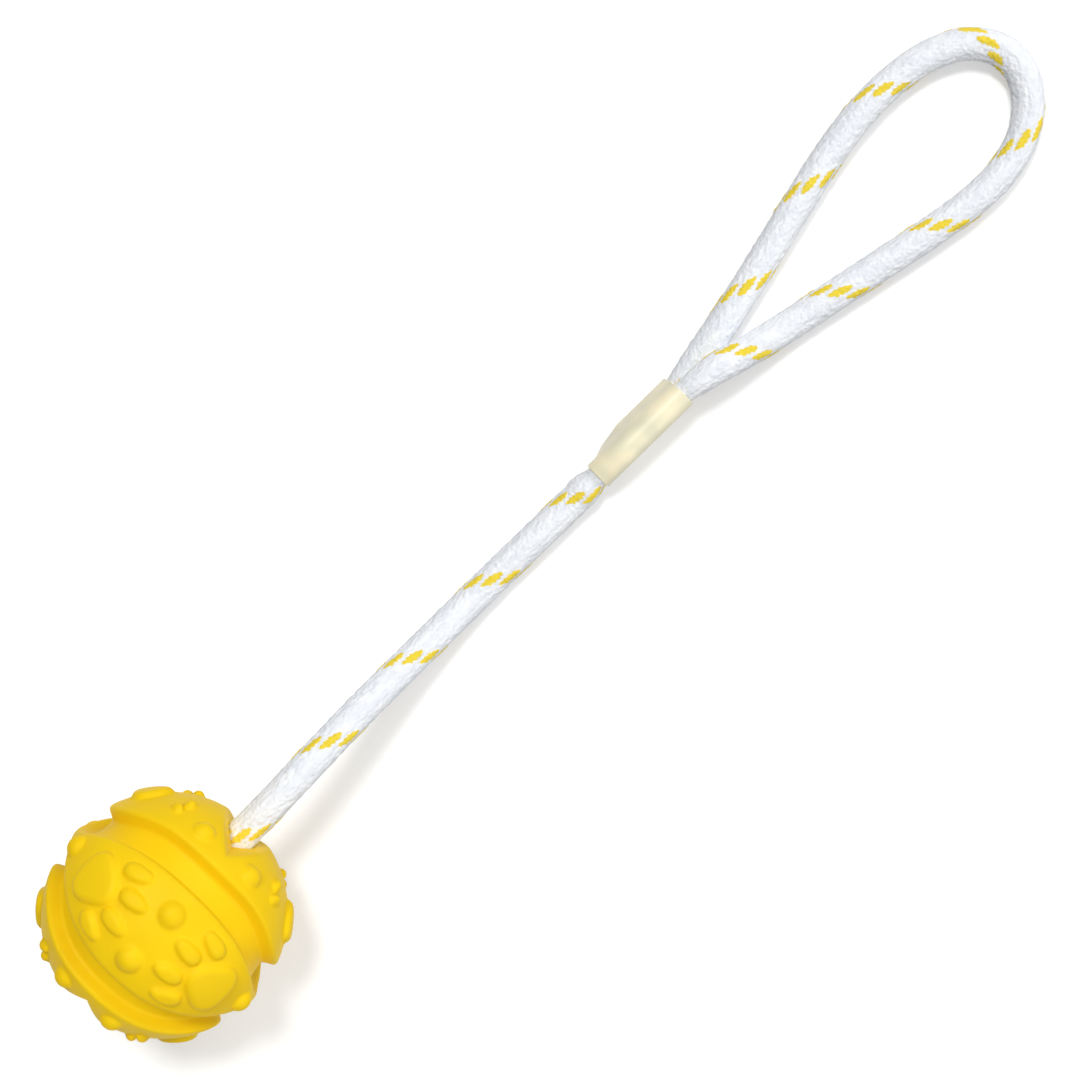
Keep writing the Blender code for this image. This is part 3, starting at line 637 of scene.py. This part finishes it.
def smooth_curve(route):
    """Centripetal Catmull-Rom curve through the route's points, finely sampled."""
    points = np.array(route, float)
    points = np.vstack([2 * points[0] - points[1], points, 2 * points[-1] - points[-2]])
    fine = []
    for p0, p1, p2, p3 in zip(points, points[1:], points[2:], points[3:]):
        t1 = np.linalg.norm(p1[:3] - p0[:3]) ** 0.5
        t2 = t1 + np.linalg.norm(p2[:3] - p1[:3]) ** 0.5
        t3 = t2 + np.linalg.norm(p3[:3] - p2[:3]) ** 0.5
        for t in np.linspace(t1, t2, CURVE_SAMPLES, endpoint=False):
            a1 = p0 + (p1 - p0) * t / t1
            a2 = p1 + (p2 - p1) * (t - t1) / (t2 - t1)
            a3 = p2 + (p3 - p2) * (t - t2) / (t3 - t2)
            b1 = a1 + (a2 - a1) * t / t2
            b2 = a2 + (a3 - a2) * (t - t1) / (t3 - t1)
            fine.append(b1 + (b2 - b1) * (t - t1) / (t2 - t1))
    fine.append(points[-2])
    return np.array(fine)


def even_points(fine, step):
    """Points at even distances along a line, and how far along it each one is."""
    pieces = np.linalg.norm(np.diff(fine[:, :3], axis=0), axis=1)
    lengths = np.concatenate([[0], np.cumsum(pieces)])
    along = np.linspace(0, lengths[-1], max(2, round(lengths[-1] / step)) + 1)
    return np.stack([np.interp(along, lengths, fine[:, k]) for k in range(4)], axis=1), along


def yarn_tone(stitch, column, shift):
    """A number from 0 to 1 for each stitch, as good as random and the same every time."""
    a, b, c = TONE_MIX
    return np.sin(stitch * a + column % YARNS_EACH_WAY * b + shift * c) % 0.01 / 0.01


def braid(turn, along):
    """Height of the plaited yarns at each place, whether the yellow one is on top, and its tone.

    Each yarn that comes to the top is one stitch: a narrow oval pillow that leans a little."""
    step = TRACER_PITCH / YARNS_EACH_WAY
    column_angle = 2 * math.pi / YARNS_EACH_WAY
    height = np.zeros_like(turn)
    tracer = np.zeros_like(turn)
    tone = np.zeros_like(turn)
    for way, shift in ((1, 0.0), (-1, 0.5)):
        column = np.round(turn / column_angle - shift)
        side = (turn - (column + shift) * column_angle) * ROPE_RADIUS
        nearest = np.round(along / step - shift)
        for offset in (-1, 0, 1):
            stitch = nearest + offset
            ahead = along - (stitch + shift) * step
            slant = way * STITCH_SLANT
            yellow = ((stitch - column) % YARNS_EACH_WAY == 0) & (way > 0)
            length = STITCH_LENGTH * np.where(yellow, TRACER_LENGTH_SHARE, 1.0)
            width = STITCH_WIDTH * np.where(yellow, TRACER_WIDTH_SHARE, 1.0)
            width = width * (1 + TOOTH_SHARE * np.sin(ahead * 2 * math.pi / TOOTH_LENGTH))
            lengthways = (ahead * math.cos(slant) + side * math.sin(slant)) / (length / 2)
            across = (side * math.cos(slant) - ahead * math.sin(slant)) / (width / 2)
            swell = np.maximum(1 - across ** 2 - np.abs(lengthways) ** 3, 0)
            top = (STITCH_RISE * np.sqrt(swell) + STITCH_SHINGLE * lengthways
                   + TRACER_PROUD * yellow)
            top = np.where(swell > 0, top, 0)
            wins = top > height
            tracer = np.where(wins, yellow, tracer)
            tone = np.where(wins, yarn_tone(stitch, column, shift), tone)
            height = np.where(wins, top, height)
    return height, tracer, tone


def soft_noise(shape, seed):
    """Seeded noise on a tube's grid, smoothed once and closed round the tube."""
    noise = np.random.default_rng(seed).standard_normal(shape)
    noise = (noise + np.roll(noise, 1, 1) + np.roll(noise, -1, 1)) / 3
    noise = (noise + np.vstack([noise[:1], noise[:-1]]) + np.vstack([noise[1:], noise[-1:]])) / 3
    return noise / noise.std()


def carried_frames(centres):
    """At each point the line's direction, and an upward and a sideways one without twist."""
    ahead = np.gradient(centres, axis=0)
    ahead /= np.linalg.norm(ahead, axis=1)[:, None]
    ups = []
    up = np.array((0.0, 0.0, 1.0))
    for direction in ahead:
        up = up - direction * up.dot(direction)
        up = up / np.linalg.norm(up)
        ups.append(up)
    ups = np.array(ups)
    return ups, np.cross(ahead, ups)


def tube_rings(centres, thick, turn):
    """Points round each centre, none of them under the floor."""
    ups, sides = carried_frames(centres)
    rings = (centres[:, None, :] + thick[..., None]
             * (np.cos(turn)[None, :, None] * ups[:, None, :]
                + np.sin(turn)[None, :, None] * sides[:, None, :]))
    rings[..., 2] = np.maximum(rings[..., 2], 0)
    return rings


def map_rope(mesh, row, column, along, radius):
    """Unroll the tube in metres: round it, and along it. The end caps stay at nought."""
    width = 2 * math.pi * radius / BRAID_SEGMENTS
    across = np.stack([column, column + 1, column + 1, column], axis=-1) * width
    lengthways = along[np.stack([row, row, row + 1, row + 1], axis=-1)]
    flat = np.zeros((len(mesh.loops), 2))
    flat[:across.size] = np.stack([across, lengthways], axis=-1).reshape(-1, 2)
    mesh.uv_layers.new(name="rope").uv.foreach_set("vector", flat.ravel())


def braided_tube(name, line, radius, tracer_at, seed, material):
    """A braided rope along a line whose fourth value is the thickness as a share.

    Returns the piece, the path that it follows and its length."""
    points, along = even_points(line, BRAID_STEP)
    centres = points[:, :3]
    turn = np.arange(BRAID_SEGMENTS) * 2 * math.pi / BRAID_SEGMENTS
    turns, lengths = np.meshgrid(turn, along)
    height, tracer, tone = braid(turns, lengths - tracer_at)
    height = height + FUZZ * soft_noise(turns.shape, seed)
    thick = points[:, 3:4] * (radius - STITCH_RISE * STITCH_SUNK_SHARE + height)
    rings = tube_rings(centres, thick, turn)
    count = len(centres)
    row, column = np.meshgrid(np.arange(count - 1), np.arange(BRAID_SEGMENTS), indexing='ij')
    after = (column + 1) % BRAID_SEGMENTS
    near, far = row * BRAID_SEGMENTS, (row + 1) * BRAID_SEGMENTS
    quads = np.stack([near + column, near + after, far + after, far + column],
                     axis=-1).reshape(-1, 4)
    first_cap = list(range(BRAID_SEGMENTS))[::-1]
    last_cap = [(count - 1) * BRAID_SEGMENTS + j for j in range(BRAID_SEGMENTS)]
    mesh = bpy.data.meshes.new(name)
    mesh.from_pydata(rings.reshape(-1, 3).tolist(), [], quads.tolist() + [first_cap, last_cap])
    map_rope(mesh, row, column, along, radius)
    for title, values in (("tracer", tracer), ("tone", tone)):
        mesh.attributes.new(title, 'FLOAT', 'POINT').data.foreach_set("value", values.ravel())
    mesh.materials.append(material)
    mesh.shade_smooth()
    obj = bpy.data.objects.new(name, mesh)
    bpy.context.scene.collection.objects.link(obj)
    path = centres[::RINGS_PER_PATH_POINT].tolist() + [centres[-1].tolist()]
    return obj, path, along[-1]


def shifted(points):
    """A line in the ball's own frame, moved to where the ball stands."""
    line = np.array(points, float)
    line[:, 0] += CENTRE_X
    return line


def sleeve_share(x):
    """How far along the sleeve a place is."""
    return (x - SLEEVE_START) / SLEEVE_LENGTH


def lower_strand(x):
    """Centre of the strand that lies on the sleeve's floor: the rope's tail."""
    start, end = LOWER_STRAND_Y
    return np.array((x, start + (end - start) * sleeve_share(x), STRAND_REST))


def climb_share(x):
    return min(max((x - CLIMB_START) / CLIMB_RUN, 0), 1)


def climb(x):
    """How far the strand from the ball has risen over the tail, in one soft S."""
    return STRAND_OVER * (1 - math.cos(math.pi * climb_share(x))) / 2


def upper_strand(x):
    """Centre of the strand from the ball, which climbs over the tail inside the sleeve."""
    return np.array((x, lower_strand(x)[1] - STRAND_SIDE_OFFSET, STRAND_REST + climb(x)))


def gripped(point):
    return (point[0], point[1], point[2], GRIPPED_SHARE)


def lead_line(axis_height):
    """Level out of the ball, one soft S down to the floor, and into the sleeve."""
    sway = [(LEAD_STRAIGHT, 0.0)] + LEAD_SWAY + [(SLEEVE_START, upper_strand(SLEEVE_START)[1])]

    def side(x):
        return np.interp(x, [p[0] for p in sway], [p[1] for p in sway])

    def height(x):
        share = min(max((x - LEAD_STRAIGHT) / (LEAD_LANDING - LEAD_STRAIGHT), 0), 1)
        return ROPE_REST + (axis_height - ROPE_REST) * (1 + math.cos(math.pi * share)) / 2

    route = [(x, 0, axis_height, 1) for x in (LEAD_SPLIT, (LEAD_SPLIT + LEAD_STRAIGHT) / 2)]
    for i in range(LEAD_DROP_POINTS + 1):
        x = LEAD_STRAIGHT + (LEAD_LANDING - LEAD_STRAIGHT) * i / LEAD_DROP_POINTS
        route.append((x, side(x), height(x), 1))
    for x in (LEAD_SWAY[-2][0], LEAD_SWAY[-1][0], SLEEVE_START - ROPE_RADIUS):
        route.append((x, side(x), ROPE_REST + climb(x), 1))
    route.append(gripped(upper_strand(SLEEVE_START - GRIP_LEAD)))
    held = gripped(upper_strand(SLEEVE_START + END_INSET - FACE_GAP))
    return shifted(np.vstack([smooth_curve(route), held]))


def loop_line():
    """Out of the sleeve, round the hand loop and back in beside itself."""
    start = SLEEVE_END - END_INSET + FACE_GAP
    route = [gripped(upper_strand(SLEEVE_END + GRIP_LEAD))]
    for x, y, over, thickness in LOOP_ROUTE:
        rest = FLOOR_GAP + ROPE_RADIUS * max(thickness, 1)
        route.append((x, y, rest + STRAND_OVER * over, thickness))
    route.append(gripped(lower_strand(SLEEVE_END + GRIP_LEAD)))
    return shifted(np.vstack([gripped(upper_strand(start)), smooth_curve(route),
                              gripped(lower_strand(start))]))


def in_sleeve_line():
    """The strand from the ball, held in the sleeve over the tail."""
    start = SLEEVE_START + END_INSET
    end = SLEEVE_END - END_INSET
    return shifted([gripped(upper_strand(x)) for x in np.linspace(start, end, GRIPPED_POINTS)])


def tail_section(x):
    """Centre and radius of the tail, which grows from its squeezed end."""
    grown = min(max((x - TAIL_START) / TAIL_TAPER, 0), 1)
    radius = GRIPPED_RADIUS * (TAIL_END_SHARE + (1 - TAIL_END_SHARE) * grown)
    centre = lower_strand(x)
    centre[2] -= GRIPPED_RADIUS - radius
    return centre, radius


def tail_line():
    """The rope's cut end, held on the sleeve's floor."""
    line = []
    for x in np.linspace(TAIL_START, SLEEVE_END - END_INSET, TAIL_POINTS):
        centre, radius = tail_section(x)
        line.append((*centre, radius / ROPE_RADIUS))
    return shifted(line)


def in_ball_line(axis_height):
    """Straight through the bore, squeezed where the knot is drawn tight on its seat."""
    start = -KNOT_SEAT
    end = LEAD_SPLIT - FACE_GAP
    return shifted([(start, 0, axis_height, KNOT_TUBE_RADIUS / ROPE_RADIUS),
                    (start + ROPE_RADIUS, 0, axis_height, 1), (end, 0, axis_height, 1)])


def knot_line(axis_height):
    """Out along the bore's line, a spiral on the far face, then wound back round itself."""
    near = -KNOT_SEAT - FACE_GAP
    far = near - 2 * KNOT_TUBE_RADIUS - KNOT_PITCH * KNOT_WOUND_TURNS
    straight = far + KNOT_TUBE_RADIUS
    steps = max(3, round((near - straight) / (2 * KNOT_TUBE_RADIUS)))
    points = [(near + (straight + KNOT_TUBE_RADIUS - near) * i / steps, 0, axis_height, 1)
              for i in range(steps)]
    spiral = round(KNOT_SPIRAL_TURNS * KNOT_POINTS_PER_TURN)
    wound = round(KNOT_WOUND_TURNS * KNOT_POINTS_PER_TURN)
    for i in range(spiral + wound + 1):
        angle = 2 * math.pi * i / KNOT_POINTS_PER_TURN
        out = KNOT_WIND_RADIUS * math.sin(math.pi / 2 * min(i / spiral, 1))
        back = KNOT_PITCH * max(i - spiral, 0) / KNOT_POINTS_PER_TURN
        points.append((straight + back, out * math.cos(angle),
                       axis_height + out * math.sin(angle), 1))
    return shifted(smooth_curve(points))


def make_rope(axis_height, material):
    """A braided tube for each stretch of the rope, by its solid, with its path and length."""
    stretches = [
        ("rope_lead", "braided_lead", lead_line(axis_height), ROPE_RADIUS, LEAD_TRACER_AT, 1),
        ("rope_loop", "braided_hand_loop", loop_line(), ROPE_RADIUS, LOOP_TRACER_AT, 2),
        ("rope_in_ball", "braid_in_ball", in_ball_line(axis_height), ROPE_RADIUS,
         INNER_TRACER_AT, 10),
        ("rope_in_sleeve", "braid_in_sleeve", in_sleeve_line(), ROPE_RADIUS, INNER_TRACER_AT, 11),
        ("rope_tail", "braid_tail", tail_line(), ROPE_RADIUS, INNER_TRACER_AT, 12),
        ("rope_knot", "braided_knot", knot_line(axis_height), KNOT_TUBE_RADIUS,
         INNER_TRACER_AT, 13),
    ]
    made = {}
    for node, name, line, radius, tracer_at, seed in stretches:
        piece, path, length = braided_tube(name, line, radius, tracer_at, seed, material)
        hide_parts(node)
        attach(piece, "rope")
        made[node] = (piece, path, length)
    return made


# Sleeve

def climb_stretch(x):
    """How much longer the climbing strand's section is upright than across."""
    slope = STRAND_OVER * math.pi / 2 / CLIMB_RUN * math.sin(math.pi * climb_share(x))
    return math.hypot(1, slope)


def sleeve_point(x, angle):
    """The film drawn tight round the two strands, or round one before the tail begins."""
    upper = upper_strand(x)
    if x >= TAIL_START:
        lower, lower_radius = tail_section(x)
    else:
        share = float(smooth_step((x - TAIL_START + SWELL_LEAD) / SWELL_LEAD))
        tail, tail_radius = tail_section(TAIL_START)
        lower = upper + (np.array((x, tail[1], tail[2])) - upper) * share
        lower_radius = GRIPPED_RADIUS + (tail_radius - GRIPPED_RADIUS) * share
    way = np.array((0, math.cos(angle), math.sin(angle)))
    stretched = way * (1, 1, climb_stretch(x))
    over = upper.dot(way) + GRIPPED_RADIUS * stretched.dot(way) - lower.dot(way) - lower_radius
    if over >= 0:
        return upper + stretched * (GRIPPED_RADIUS + SLEEVE_FIT)
    return lower + way * (lower_radius + SLEEVE_FIT)


def make_sleeve(material):
    """A grid rolled round the strands, given its wall's thickness."""
    bpy.ops.object.select_all(action='DESELECT')
    bpy.ops.mesh.primitive_grid_add(x_subdivisions=SLEEVE_STATIONS, y_subdivisions=SLEEVE_ROUNDS,
                                    size=1)
    sleeve = bpy.context.object
    sleeve.name = "film_sleeve"
    for vertex in sleeve.data.vertices:
        x = SLEEVE_START + SLEEVE_LENGTH * (vertex.co.x + 0.5)
        angle = 2 * math.pi * (vertex.co.y + 0.5)
        point = sleeve_point(x, angle)
        vertex.co = (point[0] + CENTRE_X, point[1], point[2])
    bpy.ops.object.mode_set(mode='EDIT')
    bpy.ops.mesh.select_all(action='SELECT')
    bpy.ops.mesh.remove_doubles(threshold=WELD_DISTANCE)
    bpy.ops.mesh.normals_make_consistent(inside=False)
    bpy.ops.object.mode_set(mode='OBJECT')
    wall = sleeve.modifiers.new("wall", 'SOLIDIFY')
    wall.thickness = SLEEVE_WALL
    wall.offset = 1
    bpy.ops.object.modifier_apply(modifier="wall")
    bpy.ops.object.shade_smooth_by_angle(angle=SLEEVE_CREASE)
    sleeve.data.materials.append(material)
    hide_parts("joint_sleeve")
    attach(sleeve, "rope")
    return sleeve


# Floor

def make_floor():
    bpy.ops.object.select_all(action='DESELECT')
    bpy.ops.mesh.primitive_plane_add(size=FLOOR_SIZE)
    floor = bpy.context.object
    floor.name = "floor"
    floor.data.materials.append(floor_material())


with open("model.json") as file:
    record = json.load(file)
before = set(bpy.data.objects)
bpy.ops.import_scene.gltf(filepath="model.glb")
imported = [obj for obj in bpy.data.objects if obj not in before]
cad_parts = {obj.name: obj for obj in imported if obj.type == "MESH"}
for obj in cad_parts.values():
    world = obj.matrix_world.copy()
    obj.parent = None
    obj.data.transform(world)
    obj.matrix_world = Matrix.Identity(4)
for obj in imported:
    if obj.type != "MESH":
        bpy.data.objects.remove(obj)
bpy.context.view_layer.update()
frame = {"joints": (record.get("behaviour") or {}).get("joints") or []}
axis_height = frame["joints"][0]["pos_m"][2]
bpy.context.scene.view_settings.view_transform = 'Standard'
add_camera()
rope = make_rope(axis_height, braid_material())
sleeve = make_sleeve(sleeve_material())
make_ball(axis_height, rubber_material())
make_floor()
add_world()
for sun in SUNS:
    add_sun(*sun)
